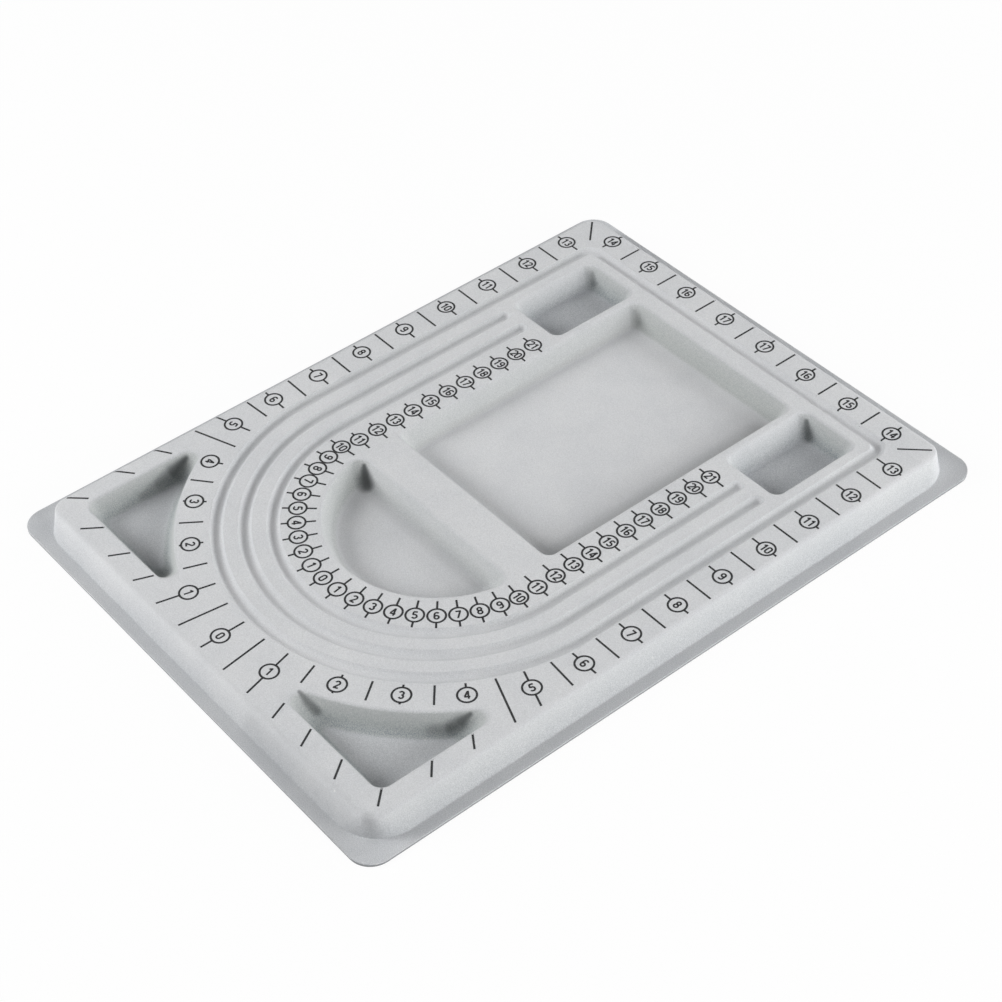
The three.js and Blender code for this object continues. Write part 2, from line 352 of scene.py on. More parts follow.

# %% [markdown]
# A row of outlines, one below the other, becomes a wall when each is extruded onto the next. Hot sheet is
# drawn thin on its way down, and the flock on it grows sparse and dark. Each feature notes that on its own
# vertices, as two attributes that the flock finish reads later, and the same shares also carry painted shade:
# floors darker towards the foot, and walls darker by the way they face. Floor, side walls and end walls each
# have their own share. The floor's share comes in near the foot, and a wall's share fades at its lip and its
# foot.

# %% Extrude one outline onto the next
def finished(bm):
    mesh = bpy.data.meshes.new("feature")
    bm.to_mesh(mesh)
    bm.free()
    return mesh


def extruded_onto(bm, verts, edges, arcs, level):
    """Extrudes a loop and sets the new loop on another outline, corner to corner."""
    made = bmesh.ops.extrude_edge_only(bm, edges=edges)["geom"]
    fresh = {item for item in made if isinstance(item, bmesh.types.BMVert)}
    twins = []
    for vert, point in zip(verts, outline_points(arcs)):
        twin = next(edge.other_vert(vert) for edge in vert.link_edges if edge.other_vert(vert) in fresh)
        twin.co = (point.x, point.y, level)
        twins.append(twin)
    return twins, [bm.edges.get(pair) for pair in zip(twins, twins[1:] + twins[:1])]


def flat(outlines, level):
    """Fills the level ground inside the first outline, round the holes that the others leave."""
    bm = bmesh.new()
    edges = [edge for arcs in outlines for edge in wire(bm, arcs, level)[1]]
    bmesh.ops.triangle_fill(bm, edges=edges, use_beauty=True, normal=(0, 0, 1))
    return finished(bm)


trial = flat([trim_outline()], 0.0)
print("ground plan of the board,", len(trial.polygons), "triangles")
bpy.data.meshes.remove(trial)

# %% Loft one feature
lip_fade = 0.15
foot_fade = 0.05
floor_onset = 2.0


def loft(rings, floor=False, floor_drawn_shade=0.0, side_drawn_shade=0.0, end_drawn_shade=0.0):
    """Skins a row of outlines, each an (arcs, level) pair, and notes the drawn thinning and painted shade of
    floor and walls.
    """
    bm = bmesh.new()
    verts, edges = wire(bm, *rings[0])
    for arcs, level in rings[1:]:
        verts, edges = extruded_onto(bm, verts, edges, arcs, level)
    if floor:
        bmesh.ops.triangle_fill(bm, edges=edges, use_beauty=True, normal=(0, 0, 1))
    drawn_shade = bm.verts.layers.float.new("drawn_shade")
    wall_shade = bm.verts.layers.float.new("wall_shade")
    levels = [level for outline, level in rings]
    bm.normal_update()
    for vert in bm.verts:
        depth = (max(levels) - vert.co.z) / (max(levels) - min(levels))
        on_wall = min(depth / lip_fade, (1 - depth) / foot_fade, 1.0)
        # Painted shade: side walls and end walls get their own shares, so a wall darkens by the way it faces,
        # and the floor share grows towards the foot.
        sideways, endways = abs(vert.normal.x), abs(vert.normal.y)
        end_share = endways / (sideways + endways) if sideways + endways else 0.0
        vert[wall_shade] = on_wall * (side_drawn_shade + (end_drawn_shade - side_drawn_shade) * end_share)
        vert[drawn_shade] = floor_drawn_shade * depth ** floor_onset + vert[wall_shade]
    return finished(bm)


trial = loft([(trim_outline(), top_level), (trim_outline(), 0.0)])
print("a straight edge round the board,", len(trial.polygons), "faces")
bpy.data.meshes.remove(trial)

# %% [markdown]
# The upper face is a set of such features: the rim, the closed channel, two slots, and six trays with floors.
# Two level flats fill the ground between them. The face is laid out at any depth, so that the same few lines
# make the top of the flock, the underside of the sheet, and what lies between. The shares below are for
# floor, side walls and end walls, in that order. They stand partly for flock drawn thin and partly for
# painted shade in the hollows and on the walls.

# %% Choose the hollows and their shares
def mirrored_pocket(inset):
    return mirrored(pocket_outline(inset))


def mirrored_box(inset):
    return mirrored(box_outline(inset))


def middle_slot(inset):
    return slot_outline(middle_channel, inset)


def inner_slot(inset):
    return slot_outline(inner_channel, inset)


# Painted shade, partly drawn thinning: each row darkens the floor, the side walls and the end walls of a
# feature.
rim_drawn_shade = 0.15, 0.10, 0.0
channel_drawn_shade = 0.0, 0.09, 0.0
pocket_drawn_shade = 0.16, 0.31, 0.34
tray_drawn_shade = 0.0, 0.17, 0.31
moon_drawn_shade = 0.02, 0.36, 0.14
box_drawn_shade = 0.25, 0.09, 0.29
trim_drawn = 0.5, 0.0, 0.0
pockets = (pocket_outline, pocket_drawn_shade), (mirrored_pocket, pocket_drawn_shade)
boxes = (box_outline, box_drawn_shade), (mirrored_box, box_drawn_shade)
pans = (tray_outline, tray_drawn_shade), (moon_outline, moon_drawn_shade), *boxes
slots = (middle_slot, channel_drawn_shade), (inner_slot, channel_drawn_shade)
print("trays", len(pockets + pans), "and slots", len(slots))


# %% Lay out one face of the form
def formed_face(depth, steps):
    """The features of the whole upper face, moved down by a depth."""
    skirt = at_depth(step_profile(skirt_drop, skirt_run, shoulder, skirt_foot, steps), depth)
    pan = at_depth(step_profile(pan_drop, pan_wall_run, lip, pan_foot, steps), depth)
    flank = channel_profile(depth, steps)

    rim = [(plateau_outline(across), level) for across, level in skirt]
    rim += [(trim_outline(inset), skirt[-1][1]) for inset in (flat_margin, 0.0)]
    deck_side = [(loop_outline(across - channel_half), level) for across, level in flank]
    land_side = [(loop_outline(channel_half - across), level) for across, level in flank]
    features = [loft(rim, False, *rim_drawn_shade), loft(deck_side + land_side[::-1], False, *channel_drawn_shade)]
    for hollows, profile in ((pockets + pans, pan), (slots, flank)):
        for outline, drawn_shade in hollows:
            rings = [(outline(across), level) for across, level in profile]
            features.append(loft(rings, True, *drawn_shade))

    lip_run, lip_level = pan[0]
    slot_run = flank[0][0]
    pocket_lips = [outline(lip_run) for outline, drawn_shade in pockets]
    deck_lips = [outline(lip_run) for outline, drawn_shade in pans]
    deck_lips += [outline(slot_run) for outline, drawn_shade in slots]
    features.append(flat([rim[0][0], land_side[0][0], *pocket_lips], lip_level))
    features.append(flat([deck_side[0][0], *deck_lips], lip_level))
    return features


print("tray floors", round(top_level - pan_drop, 2), "mm above the table")

# %% [markdown]
# The board has two layers. The flock is the upper one, and the sheet lies under it with the glue between. A
# Solidify modifier could thicken a face, but the tight lips would fold, so each layer is the upper and the
# lower face of its own depth, joined round the trimmed edge of the flange and welded into one closed shell.

# %% Turn two faces into one closed layer
sharp_angle = math.radians(50)
weld_distance = 0.001
fine_steps = 6
hidden_steps = 2


def layer(name, upper_depth, lower_depth, upper_steps, lower_steps):
    """A closed shell between two depths of the form, trimmed along the flange."""
    features = formed_face(upper_depth, upper_steps) + formed_face(lower_depth, lower_steps)
    trim = [(trim_outline(), sheet_underside - depth) for depth in (upper_depth, lower_depth)]
    features.append(loft(trim, False, *trim_drawn))
    bm = bmesh.new()
    for feature in features:
        bm.from_mesh(feature)
        bpy.data.meshes.remove(feature)
    bmesh.ops.remove_doubles(bm, verts=bm.verts, dist=weld_distance)
    bmesh.ops.recalc_face_normals(bm, faces=bm.faces)
    volume = bm.calc_volume() * MM
    bmesh.ops.scale(bm, vec=(MM, MM, MM), verts=bm.verts)
    mesh = bpy.data.meshes.new(name)
    bm.to_mesh(mesh)
    odd_edges = sum(1 for edge in bm.edges if len(edge.link_faces) != 2)
    print(name, "faces", len(bm.faces), "edges without two faces", odd_edges, "cm3", round(volume, 1))
    bm.free()
    mesh.shade_smooth()
    mesh.set_sharp_from_angle(angle=sharp_angle)
    piece = bpy.data.objects.new(name, mesh)
    bpy.context.collection.objects.link(piece)
    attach(piece, "root")
    return piece


flock_coat = layer("flock_coat", 0.0, flock_pile + glue_film - glue_gap, fine_steps, hidden_steps)
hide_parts("flock_layer")
formed_sheet = layer("formed_sheet", sheet_top, sheet_underside, hidden_steps, fine_steps)
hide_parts(*[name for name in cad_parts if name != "flock_layer"])

# %% [markdown]
# ## The printed scales
# Two scales are printed in black ink: inches on the outer land and centimetres on the deck. Both count from
# the middle of the bend, where the middle of the necklace lies. A material could paint them, but marks made
# of mesh stay sharp from any distance. The sheet is printed flat and drawn over the mould afterwards, so the
# rows lean a little and their steps aren't exact. Each mark is made once and stamped wherever it is needed.

# %% Make a tick and a ring
ink_half = 0.025
half_unit = 0.5
tick_width = 0.95
tick_cuts = 11
ring_stroke = 0.95
ring_steps = 40


def make_tick():
    """A bar one millimetre long, cut across so that it can follow a curve."""
    bm = bmesh.new()
    bmesh.ops.create_cube(bm, size=1)
    bmesh.ops.scale(bm, vec=(1, tick_width, 2 * ink_half), verts=bm.verts)
    lengthwise = [edge for edge in bm.edges if abs(edge.verts[0].co.x - edge.verts[1].co.x) > half_unit]
    bmesh.ops.subdivide_edges(bm, edges=lengthwise, cuts=tick_cuts, use_grid_fill=True)
    return finished(bm)


def make_ring(radius):
    """A small section that is spun all the way round."""
    bm = bmesh.new()
    section = bmesh.ops.create_grid(bm, x_segments=1, y_segments=1, size=half_unit)["verts"]
    bmesh.ops.delete(bm, geom=bm.faces[:], context="FACES_ONLY")
    bmesh.ops.scale(bm, vec=(ring_stroke, 2 * ink_half, 1), verts=section)
    bmesh.ops.rotate(bm, cent=(0, 0, 0), matrix=Matrix.Rotation(right_angle, 3, "X"), verts=section)
    bmesh.ops.translate(bm, vec=(radius - ring_stroke / 2, 0, 0), verts=section)
    bmesh.ops.spin(
        bm, geom=bm.verts[:] + bm.edges[:], axis=(0, 0, 1), cent=(0, 0, 0),
        angle=math.tau, steps=ring_steps, use_merge=True,
    )
    bmesh.ops.recalc_face_normals(bm, faces=bm.faces)
    return finished(bm)


tick_mark = make_tick()
print("tick", len(tick_mark.polygons), "faces")

# %% [markdown]
# The numbers are plain and sturdy, as a sign painter would draw them. A text object could set them in a font,
# but a few strokes of even width are closer to the print. A digit stands in a box 0.6 wide and 1 high. A
# stroke is a bar between two points, or an arc with its centre, radius, first angle and sweep.

# %% Draw the digits
digit_strokes = {
    "0": (
        ((0.08, 0.30), (0.08, 0.70)), ((0.52, 0.30), (0.52, 0.70)),
        ((0.30, 0.70), 0.22, 0, 180), ((0.30, 0.30), 0.22, 180, 180),
    ),
    "1": (((0.36, 0.00), (0.36, 1.00)), ((0.34, 0.93), (0.12, 0.74))),
    "2": (((0.30, 0.70), 0.22, -35, 205), ((0.48, 0.57), (0.10, 0.08)), ((0.04, 0.08), (0.56, 0.08))),
    "3": (((0.29, 0.71), 0.21, -90, 250), ((0.29, 0.29), 0.21, -160, 250)),
    "4": (((0.42, 0.00), (0.42, 1.00)), ((0.40, 0.95), (0.06, 0.32)), ((0.01, 0.27), (0.59, 0.27))),
    "5": (((0.12, 0.92), (0.53, 0.92)), ((0.14, 0.92), (0.11, 0.50)), ((0.29, 0.32), 0.24, -150, 285)),
    "6": (((0.30, 0.30), 0.22, 0, 360), ((0.08, 0.30), (0.08, 0.70)), ((0.30, 0.70), 0.22, 35, 145)),
    "7": (((0.04, 0.92), (0.57, 0.92)), ((0.50, 0.90), (0.20, 0.00))),
    "8": (((0.30, 0.72), 0.20, 0, 360), ((0.30, 0.30), 0.22, 0, 360)),
    "9": (((0.30, 0.70), 0.22, 0, 360), ((0.52, 0.30), (0.52, 0.70)), ((0.30, 0.30), 0.22, 215, 145)),
}
print("digits", len(digit_strokes), "of", sum(map(len, digit_strokes.values())), "strokes")

# %% Make a number
digit_height = 4.3
digit_width = 0.60
digit_step = 0.62
digit_stroke = 0.195
digit_arc_steps = 20
full_turn = 360
number_marks = {}


def add_bar(bm, start, end):
    run = Vector(end) - Vector(start)
    bar = bmesh.ops.create_grid(bm, x_segments=1, y_segments=1, size=half_unit)["verts"]
    bmesh.ops.scale(bm, vec=(run.length, digit_stroke, 1), verts=bar)
    bmesh.ops.rotate(bm, cent=(0, 0, 0), matrix=Matrix.Rotation(math.atan2(run.y, run.x), 3, "Z"), verts=bar)
    bmesh.ops.translate(bm, vec=((Vector(start) + Vector(end)) / 2).to_3d(), verts=bar)


def add_arc(bm, centre, radius, first, sweep):
    """A short edge across the stroke, spun round the middle of the arc."""
    across = bmesh.ops.create_vert(bm, co=(radius - digit_stroke / 2, 0, 0))["vert"]
    grown = bmesh.ops.extrude_vert_indiv(bm, verts=across)
    bmesh.ops.translate(bm, vec=(digit_stroke, 0, 0), verts=grown["verts"])
    section = across + grown["verts"]
    bmesh.ops.rotate(bm, cent=(0, 0, 0), matrix=Matrix.Rotation(math.radians(first), 3, "Z"), verts=section)
    bmesh.ops.translate(bm, vec=Vector(centre).to_3d(), verts=section)
    bmesh.ops.spin(
        bm, geom=section + grown["edges"], axis=(0, 0, 1), cent=Vector(centre).to_3d(),
        angle=math.radians(sweep), steps=digit_arc_steps, use_merge=sweep == full_turn,
    )


def number_mark(label):
    """A number as a thin mesh round its own middle."""
    if label not in number_marks:
        bm = bmesh.new()
        for place, digit in enumerate(label):
            before = set(bm.verts)
            for stroke in digit_strokes[digit]:
                if len(stroke) == 2:
                    add_bar(bm, *stroke)
                else:
                    add_arc(bm, *stroke)
            made = [vert for vert in bm.verts if vert not in before]
            bmesh.ops.translate(bm, vec=(place * digit_step, 0, 0), verts=made)
        raised = bmesh.ops.extrude_face_region(bm, geom=bm.faces[:], use_keep_orig=True)["geom"]
        lid = [part for part in raised if isinstance(part, bmesh.types.BMVert)]
        thickness = 2 * ink_half / digit_height
        bmesh.ops.translate(bm, vec=(0, 0, thickness), verts=lid)
        middle = ((len(label) - 1) * digit_step + digit_width) / 2
        bmesh.ops.translate(bm, vec=(-middle, -half_unit, -thickness / 2), verts=bm.verts)
        bmesh.ops.scale(bm, vec=(digit_height, digit_height, digit_height), verts=bm.verts)
        bmesh.ops.recalc_face_normals(bm, faces=bm.faces)
        number_marks[label] = finished(bm)
    return number_marks[label]


print("number 10", len(number_mark("10").polygons), "faces")

# %% Stamp marks on the board
ink_lift = 0.005
ink_level = top_level + ink_lift


def stamp(bm, mark, place):
    copy = mark.copy()
    copy.transform(Matrix.Translation((0, 0, ink_level)) @ place)
    bm.from_mesh(copy)
    bpy.data.meshes.remove(copy)


def stamp_line(bm, start, end):
    run = end - start
    middle = Matrix.Translation(((start + end) / 2).to_3d())
    turn = Matrix.Rotation(math.atan2(run.y, run.x), 4, "Z")
    stamp(bm, tick_mark, middle @ turn @ Matrix.Diagonal((run.length, 1, 1, 1)))


def stamp_number(bm, number, centre, ring, turn=0.0):
    place = Matrix.Translation(centre.to_3d())
    stamp(bm, ring, place)
    stamp(bm, number_mark(str(number)), place @ Matrix.Rotation(turn, 4, "Z"))


def stamp_ringed_line(bm, start, end, centre, radius):
    """A line that the ring interrupts."""
    reach = (end - start).normalized() * (radius - ring_stroke / 2)
    stamp_line(bm, start, centre - reach)
    stamp_line(bm, centre + reach, end)


def ray(angle):
    """A direction counted from the near side of the bend, in degrees."""
    return Vector((math.sin(math.radians(angle)), -math.cos(math.radians(angle))))


print("ink reaches", round(ink_lift + ink_half, 3), "mm above the coat")

# %% [markdown]
# The outer scale runs round the land. On the straight sides and across the far end its numbers stand upright.
# On the bend they turn with the arc, and each line points at the middle of the bend. Where a line would cross
# a corner pocket it stops short of the lip and goes on behind the pocket.

# %% Inch scale on the straight land
inch_ring_radius = 4.5
inch_ring = make_ring(inch_ring_radius)
inch_inner = 102.7
inch_outer = 117.4
first_row_inch = 6
last_row_inch = 13
left_inch_row = Vector((-110.8, -43.0)), Vector((-110.8, 135.3))
right_inch_row = Vector((110.2, -43.5)), Vector((112.2, 133.7))
inch_print = bmesh.new()

for side, (near_end, far_end) in ((-1, left_inch_row), (1, right_inch_row)):
    for half_inch in range(2 * first_row_inch, 2 * last_row_inch + 1):
        along = (half_inch / 2 - first_row_inch) / (last_row_inch - first_row_inch)
        centre = near_end.lerp(far_end, along)
        start = Vector((side * inch_inner, centre.y))
        end = Vector((side * inch_outer, centre.y))
        if half_inch % 2:
            stamp_line(inch_print, start, end)
        else:
            stamp_number(inch_print, half_inch // 2, centre, inch_ring)
            stamp_ringed_line(inch_print, start, end, centre, inch_ring_radius)
print("two straight rows", len(inch_print.faces), "faces")

# %% Inch scale across the far end
far_row = Vector((-95.9, 152.5)), Vector((95.6, 150.5))
far_numbers = (14, 15, 16, 17, 17, 16, 15, 14)
far_line_half = Vector((0, 6.6))
corner_tick = Vector((104.3, 145.0)), Vector((115.2, 155.9))
far_last = len(far_numbers) - 1

for half_step in range(2 * far_last + 1):
    centre = far_row[0].lerp(far_row[1], half_step / 2 / far_last)
    start, end = centre - far_line_half, centre + far_line_half
    if half_step % 2:
        stamp_line(inch_print, start, end)
    else:
        stamp_number(inch_print, far_numbers[half_step // 2], centre, inch_ring)
        stamp_ringed_line(inch_print, start, end, centre, inch_ring_radius)
for side in (-1, 1):
    start, end = (Vector((side * point.x, point.y)) for point in corner_tick)
    stamp_line(inch_print, start, end)
print("with the far row", len(inch_print.faces), "faces")

# %% Find the lines of the inch bend
inch_bend = Vector((-1.2, bend_y))
inch_bend_turn = -0.3
inch_bend_radii = (116.4, 116.4, 110.0, 109.9, 110.7, 113.8)
inch_line_inner = 104.3
pocket_stop = 115.0
side_inner = 109.8
side_outer = 117.5
near_inner = -148.2
near_outer = -156.6
corner_half = 6
corner_line = 157.6, 167.6
half_lean = {9: 5.5, 11: 7.5}
first_pocket_half = 3
last_pocket_half = 8
inch_turn = 15.2
inch_turn_loss = 0.2


def inch_angle(number):
    """The steps grow a little shorter away from the middle of the bend."""
    return inch_turn * number - inch_turn_loss * number ** 2


def first_reach(start, heading, side_x, near_y):
    """How far a line runs from a point before it meets a side or the near edge."""
    to_near = (near_y - start.y) / heading.y
    if not heading.x:
        return to_near
    to_side = (math.copysign(side_x, heading.x) + inch_bend.x - start.x) / heading.x
    return min(to_side, to_near)


print("inch 5 lies", round(inch_angle(5), 1), "degrees round the bend")

# %% Inch scale round the bend
for half_inch in range(2 * first_row_inch):
    for side in (-1, 1) if half_inch else (1,):
        angle = side * inch_angle(half_inch / 2) + inch_bend_turn
        heading = ray(angle)
        start = inch_bend + heading * inch_line_inner
        end = inch_bend + heading * pocket_stop
        if first_pocket_half <= half_inch <= last_pocket_half:
            behind = first_reach(inch_bend, heading, side_inner, near_inner)
            outside = first_reach(inch_bend, heading, side_outer, near_outer)
            if half_inch == corner_half:
                behind, outside = corner_line
            stamp_line(inch_print, inch_bend + heading * behind, inch_bend + heading * outside)
        else:
            leaning_heading = ray(angle + side * half_lean.get(half_inch, 0.0))
            end = start + leaning_heading * first_reach(start, leaning_heading, side_outer, near_outer)
        if half_inch % 2:
            stamp_line(inch_print, start, end)
        else:
            number = half_inch // 2
            centre = inch_bend + heading * inch_bend_radii[number]
            stamp_number(inch_print, number, centre, inch_ring, math.radians(angle))
            stamp_ringed_line(inch_print, start, end, centre, inch_ring_radius)
print("inch scale", len(inch_print.faces), "faces")

# %% [markdown]
# The inner scale lies between the half-moon, the tray and the inner channel. Its numbers sit ring by ring,
# one for each centimetre. From ten upwards they stand upright.

# %% Centimetre scale round the bend
cm_ring_radius = 4.4
cm_ring = make_ring(cm_ring_radius)
cm_bend_x = 0.3
cm_bend_nearer = 0.4
cm_bend = Vector((cm_bend_x, bend_y - cm_bend_nearer))
cm_bend_turn = -1.0
cm_bend_drift = 0.008
cm_bend_radius = 63.9
cm_line_inner = 55.4
cm_line_outer = 70.9
cm_bend_last = 10
cm_upright_from = 10
cm_turn = 8.66
cm_turn_loss = 0.0435
cm_print = bmesh.new()


def cm_angle(number):
    return cm_turn * number - cm_turn_loss * number ** 2


for number in range(cm_bend_last + 1):
    for side in (-1, 1) if number else (1,):
        angle = side * cm_angle(number) + cm_bend_turn + cm_bend_drift * number ** 2
        heading = ray(angle)
        centre = cm_bend + heading * cm_bend_radius
        turn = 0.0 if number >= cm_upright_from else math.radians(angle)
        stamp_number(cm_print, number, centre, cm_ring, turn)
        start, end = cm_bend + heading * cm_line_inner, cm_bend + heading * cm_line_outer
        stamp_ringed_line(cm_print, start, end, centre, cm_ring_radius)
print("centimetre bend", len(cm_print.faces), "faces")

# %% Centimetre scale on the straight deck
cm_row_last = 21
left_cm_row = Vector((-61.6, -30.0)), Vector((-60.4, 71.4))
right_cm_row = Vector((64.1, -29.8)), Vector((62.6, 70.9))
left_cm_line = -67.6, -53.9
right_cm_line = 55.4, 70.9

for (near_end, far_end), (low_x, high_x) in ((left_cm_row, left_cm_line), (right_cm_row, right_cm_line)):
    for number in range(cm_bend_last + 1, cm_row_last + 1):
        along = (number - cm_bend_last - 1) / (cm_row_last - cm_bend_last - 1)
        centre = near_end.lerp(far_end, along)
        stamp_number(cm_print, number, centre, cm_ring)
        start, end = Vector((low_x, centre.y)), Vector((high_x, centre.y))
        stamp_ringed_line(cm_print, start, end, centre, cm_ring_radius)
print("centimetre scale", len(cm_print.faces), "faces")

# %% [markdown]
# A line that runs over a rounded edge has to bend with it. So every point of the print is dropped straight
# down onto the coat, and keeps its own small height above it.

# %% Lay the print on the coat
def lay_print(name, bm):
    coat = BVHTree.FromObject(flock_coat, bpy.context.evaluated_depsgraph_get())
    bmesh.ops.remove_doubles(bm, verts=bm.verts, dist=weld_distance)
    for vert in bm.verts:
        above = Vector((vert.co.x, vert.co.y, 2 * top_level)) * MM
        point = coat.ray_cast(above, Vector((0, 0, -1)))[0]
        vert.co.z += point.z / MM - top_level
    bmesh.ops.recalc_face_normals(bm, faces=bm.faces)
    bmesh.ops.scale(bm, vec=(MM, MM, MM), verts=bm.verts)
    odd_edges = sum(1 for edge in bm.edges if len(edge.link_faces) != 2)
    mesh = bpy.data.meshes.new(name)
    bm.to_mesh(mesh)
    bm.free()
    piece = bpy.data.objects.new(name, mesh)
    bpy.context.collection.objects.link(piece)
    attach(piece, "root")
    print(name, "faces", len(mesh.polygons), "edges without two faces", odd_edges)
    return piece


inch_scale = lay_print("inch_scale", inch_print)
centimetre_scale = lay_print("centimetre_scale", cm_print)
for mark in [tick_mark, inch_ring, cm_ring, *number_marks.values()]:
    bpy.data.meshes.remove(mark)

# %% [markdown]
# ## Finishes
# Flock is a coat of short upright fibres, so close up it is never one colour: fibres stand and lean, and lint
# clings to it. Its tight corners and hollows also get painted shade. The same grain shows through the ink,
# and a broader one is in the bare plastic below. That grain is one node group, and each finish uses it with
# its own sizes.

# %% Place nodes
plain_math = "ShaderNodeMath"
vector_math = "ShaderNodeVectorMath"
map_range = "ShaderNodeMapRange"


def new_group(name, inputs, outputs):
    group = bpy.data.node_groups.new(name, "ShaderNodeTree")
    for label, kind in inputs.items():
        group.interface.new_socket(name=label, in_out="INPUT", socket_type="NodeSocket" + kind)
    for label, kind in outputs.items():
        group.interface.new_socket(name=label, in_out="OUTPUT", socket_type="NodeSocket" + kind)
    return group, group.nodes.new("NodeGroupInput"), group.nodes.new("NodeGroupOutput")


def add_node(tree, kind, links=None, values=None, **settings):
    """Adds a node, sets its options and values, and links named sockets to its inputs."""
    node = tree.nodes.new(kind)
    for key, value in settings.items():
        setattr(node, key, value)
    for key, value in (values or {}).items():
        node.inputs[key].default_value = value
    for key, socket in (links or {}).items():
        tree.links.new(socket, node.inputs[key])
    return node


def place_in_mm(tree):
    place = add_node(tree, "ShaderNodeTexCoord").outputs["Object"]
    return add_node(tree, vector_math, {0: place}, {"Scale": 1 / MM}, operation="SCALE").outputs[0]


grain, grain_in, grain_out = new_group(
    "fibre_grain",
    {"Fibres per mm": "Float", "Patches per mm": "Float", "Specks per mm": "Float"},
    {"Grain": "Float", "Patches": "Float", "Specks": "Float"},
)
print("group", grain.name, "gives", [socket.name for socket in grain_out.inputs if socket.name])

# %% Build the shared grain
grain_place = place_in_mm(grain)
clear_step = {"From Min": 0.3, "From Max": 0.7}
speck_edge = {"From Min": 0.035, "From Max": 0.02}
grain_rows = (
    ("Fibres per mm", "ShaderNodeTexNoise", {"Detail": 2.0, "Roughness": 0.7}, "Fac", clear_step, "Grain"),
    (
        "Patches per mm", "ShaderNodeTexNoise", {"Detail": 3.0, "Roughness": 0.55, "Distortion": 0.4},
        "Fac", clear_step, "Patches",
    ),
    ("Specks per mm", "ShaderNodeTexVoronoi", {"Randomness": 1.0}, "Distance", speck_edge, "Specks"),
)
for size, kind, values, output, limits, label in grain_rows:
    pattern = add_node(grain, kind, {"Vector": grain_place, "Scale": grain_in.outputs[size]}, values)
    stretched = add_node(grain, map_range, {"Value": pattern.outputs[output]}, limits)
    grain.links.new(stretched.outputs["Result"], grain_out.inputs[label])
print("group", grain.name, len(grain.nodes), "nodes")

# %% [markdown]
# Where two walls meet in a tight corner, and along a few walls and skirts, the flock gets a streak of painted
# shade, narrow at the lip and wider towards the foot. A second group makes one streak between two points of
# the wall, and two or three runs joined end to end follow a corner down to the floor.

# %% Build the streak of painted shade
shade_streak_group, streak_in, streak_out = new_group(
    "shade_streak",
    {"Lip": "Vector", "Foot": "Vector", "Lip reach": "Float", "Foot reach": "Float", "Most": "Float"},
    {"Mask": "Float"},
)
lip_end, foot_end, most = (streak_in.outputs[label] for label in ("Lip", "Foot", "Most"))
away = add_node(shade_streak_group, vector_math, {0: place_in_mm(shade_streak_group), 1: lip_end}, operation="SUBTRACT").outputs[0]
run = add_node(shade_streak_group, vector_math, {0: foot_end, 1: lip_end}, operation="SUBTRACT").outputs[0]
covered = add_node(shade_streak_group, vector_math, {0: away, 1: run}, operation="DOT_PRODUCT").outputs["Value"]
whole = add_node(shade_streak_group, vector_math, {0: run, 1: run}, operation="DOT_PRODUCT").outputs["Value"]
along = add_node(shade_streak_group, plain_math, {0: covered, 1: whole}, operation="DIVIDE", use_clamp=True).outputs[0]
nearest = add_node(shade_streak_group, vector_math, {0: run, "Scale": along}, operation="SCALE").outputs[0]
off = add_node(shade_streak_group, vector_math, {0: away, 1: nearest}, operation="DISTANCE").outputs["Value"]
taper = {"Value": along, "To Min": streak_in.outputs["Lip reach"], "To Max": streak_in.outputs["Foot reach"]}
reach = add_node(shade_streak_group, map_range, taper).outputs["Result"]
share = add_node(shade_streak_group, plain_math, {0: off, 1: reach}, operation="DIVIDE").outputs[0]
soft = {"From Min": 1.0, "From Max": 0.1}
limits = {"Value": share, "To Max": most}
fading = add_node(shade_streak_group, map_range, limits, soft, interpolation_type="SMOOTHSTEP")
shade_streak_group.links.new(fading.outputs["Result"], streak_out.inputs["Mask"])
print("group", shade_streak_group.name, len(shade_streak_group.nodes), "nodes")

# %% [markdown]
# A streak has to lie on its wall, so its ends are found on the form itself. A place on a wall is an arc of
# the outline, how far the place lies along it, and its share of the drop.

# %% Find a place on a formed wall
pan_profile = at_depth(step_profile(pan_drop, pan_wall_run, lip, pan_foot, fine_steps), 0.0)
skirt_profile = at_depth(step_profile(skirt_drop, skirt_run, shoulder, skirt_foot, fine_steps), 0.0)


def on_arc(arcs, number, share):
    x, y, radius, start, end, steps = arcs[number % len(arcs)]
    angle = start + (end - start) * share
    return Vector((x + radius * math.cos(angle), y + radius * math.sin(angle), 0))


def on_wall(outline, profile, number, turn, depth):
    """A point at a share of the drop. Turn runs to 1 along an arc, and to 2 along the straight after it."""
    top, bottom = profile[0][1], profile[-1][1]
    level = top + (bottom - top) * depth
    below = next(step for step, (across, height) in enumerate(profile) if height <= level)
    (near_across, high), (far_across, low) = profile[below - 1:below + 1]
    arcs = outline(near_across + (far_across - near_across) * (high - level) / (high - low))
    if turn <= 1:
        point = on_arc(arcs, number, turn)
    else:
        point = on_arc(arcs, number, 1).lerp(on_arc(arcs, number + 1, 0), turn - 1)
    return point.x, point.y, level


moon_corner_place = on_wall(moon_outline, pan_profile, 1, 0.5, 0.5)
print("half-moon corner, halfway down", [round(value, 1) for value in moon_corner_place], "mm")

# %% [markdown]
# Each finish is one Principled shader. A few helpers mix two colours, stretch the range of a value and turn
# the grain into a bump, so that the finishes below read like recipes. The flock comes first, because it
# covers all that is seen from above.

# %% Start a finish
def new_finish(name, roughness):
    material = bpy.data.materials.new(name)
    material.use_nodes = True
    shader = material.node_tree.nodes["Principled BSDF"]
    shader.inputs["Roughness"].default_value = roughness
    return material, material.node_tree, shader


def use_grain(tree, fibres, patches, specks):
    sizes = {"Fibres per mm": fibres, "Patches per mm": patches, "Specks per mm": specks}
    return add_node(tree, "ShaderNodeGroup", None, sizes, node_tree=grain)


